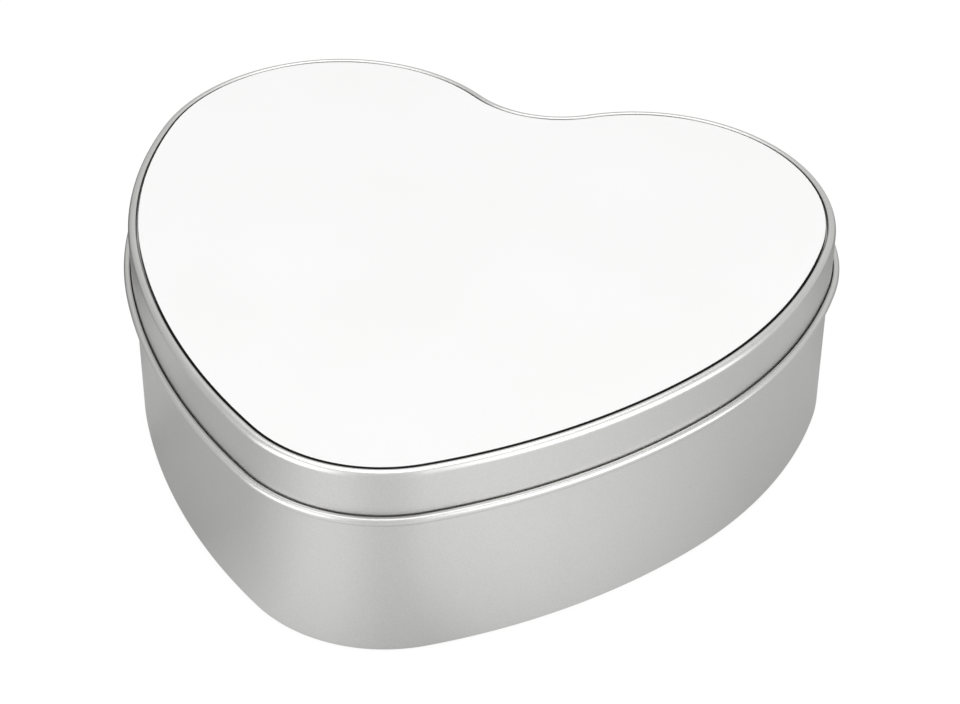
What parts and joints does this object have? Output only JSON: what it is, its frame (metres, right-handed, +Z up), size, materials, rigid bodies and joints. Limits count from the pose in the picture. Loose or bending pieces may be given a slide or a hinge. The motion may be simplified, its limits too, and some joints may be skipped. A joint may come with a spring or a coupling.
{
  "type": "wind up music box",
  "caption": "Heart-shaped slip-lid tin with a plain white lid panel and a key-wound pinned-cylinder music movement inside.",
  "frame": {"origin": "centre of the tin's bounding box, on the surface it stands on", "axes": "+Z up through the lid, +X across the two lobes, the heart's tip towards -Y and its cleft towards +Y"},
  "size_m": [0.132, 0.123, 0.0399],
  "materials": {
    "tinplate": "satin tinplate, fine matt grain",
    "panel_white": "smooth white, low gloss",
    "adhesive": "thin adhesive sheet",
    "screw_steel": "nickel-plated steel",
    "cast_zinc": "bare die-cast zinc",
    "machined_steel": "turned steel",
    "plated_steel": "nickel-plated steel",
    "spring_steel": "blued spring steel",
    "drum_metal": "satin nickel silver",
    "comb_steel": "ground hardened steel",
    "lead": "dull lead",
    "brass": "machined brass",
    "sheet_aluminium": "rolled sheet"
  },
  "bodies": {
    "tin": {"tin_body": "tinplate", "mounting_screws": "screw_steel", "bedplate": "cast_zinc", "spring_cover": "plated_steel", "mainspring": "spring_steel", "spring_housing": "plated_steel", "housing_screws": "screw_steel", "cylinder_bushes": "brass", "comb": "comb_steel", "comb_weights": "lead", "comb_screws": "screw_steel", "governor_frame": "brass", "governor_screws": "screw_steel", "top_bearing": "brass", "lever_screw": "screw_steel"},
    "lid": {"lid_shell": "tinplate", "lid_panel": "panel_white", "panel_adhesive": "adhesive"},
    "cylinder": {"cylinder_drum": "drum_metal", "drum_end_caps": "brass", "cylinder_shaft": "machined_steel", "cylinder_pinion": "brass", "great_gear": "brass"},
    "drive": {"drive_gear": "brass", "clutch_spring": "spring_steel"},
    "winder": {"winding_arbor": "machined_steel", "winding_key": "plated_steel"},
    "governor": {"governor_pinion": "machined_steel", "worm_wheel": "brass"},
    "worm": {"worm_shaft": "machined_steel", "air_brake": "sheet_aluminium"},
    "stop": {"stop_lever": "plated_steel"}
  },
  "joints": [
    {"name": "lid_lift", "type": "slide", "parent": "tin", "child": "lid", "axis": [0, 0, 1], "range_m": [0, 0.06]},
    {"name": "cylinder_turn", "type": "hinge", "parent": "tin", "child": "cylinder", "pos_m": [0.0092, 0.009, 0.0206], "axis": [1, 0, 0], "continuous": true},
    {"name": "drive_turn", "type": "hinge", "parent": "tin", "child": "drive", "pos_m": [-0.014, 0.009, 0.0145], "axis": [0, 0, 1], "continuous": true},
    {"name": "key_wind", "type": "hinge", "parent": "drive", "child": "winder", "pos_m": [-0.014, 0.009, 0.0145], "axis": [0, 0, 1], "range_deg": [0, 1800]},
    {"name": "governor_turn", "type": "hinge", "parent": "tin", "child": "governor", "pos_m": [0.0225, 0.01661, 0.01705], "axis": [1, 0, 0], "continuous": true},
    {"name": "worm_turn", "type": "hinge", "parent": "tin", "child": "worm", "pos_m": [0.0225, 0.02186, 0.018], "axis": [0, 0, 1], "continuous": true},
    {"name": "stop_swing", "type": "hinge", "parent": "tin", "child": "stop", "pos_m": [0.0125, 0.0245, 0.0208], "axis": [0, 0, 1], "range_deg": [0, 14]}
  ],
  "couplings": [
    {"joint": "drive_turn", "follows": "cylinder_turn", "ratio": 0.38095},
    {"joint": "governor_turn", "follows": "cylinder_turn", "ratio": -3.6667},
    {"joint": "worm_turn", "follows": "cylinder_turn", "ratio": 80.667}
  ]
}
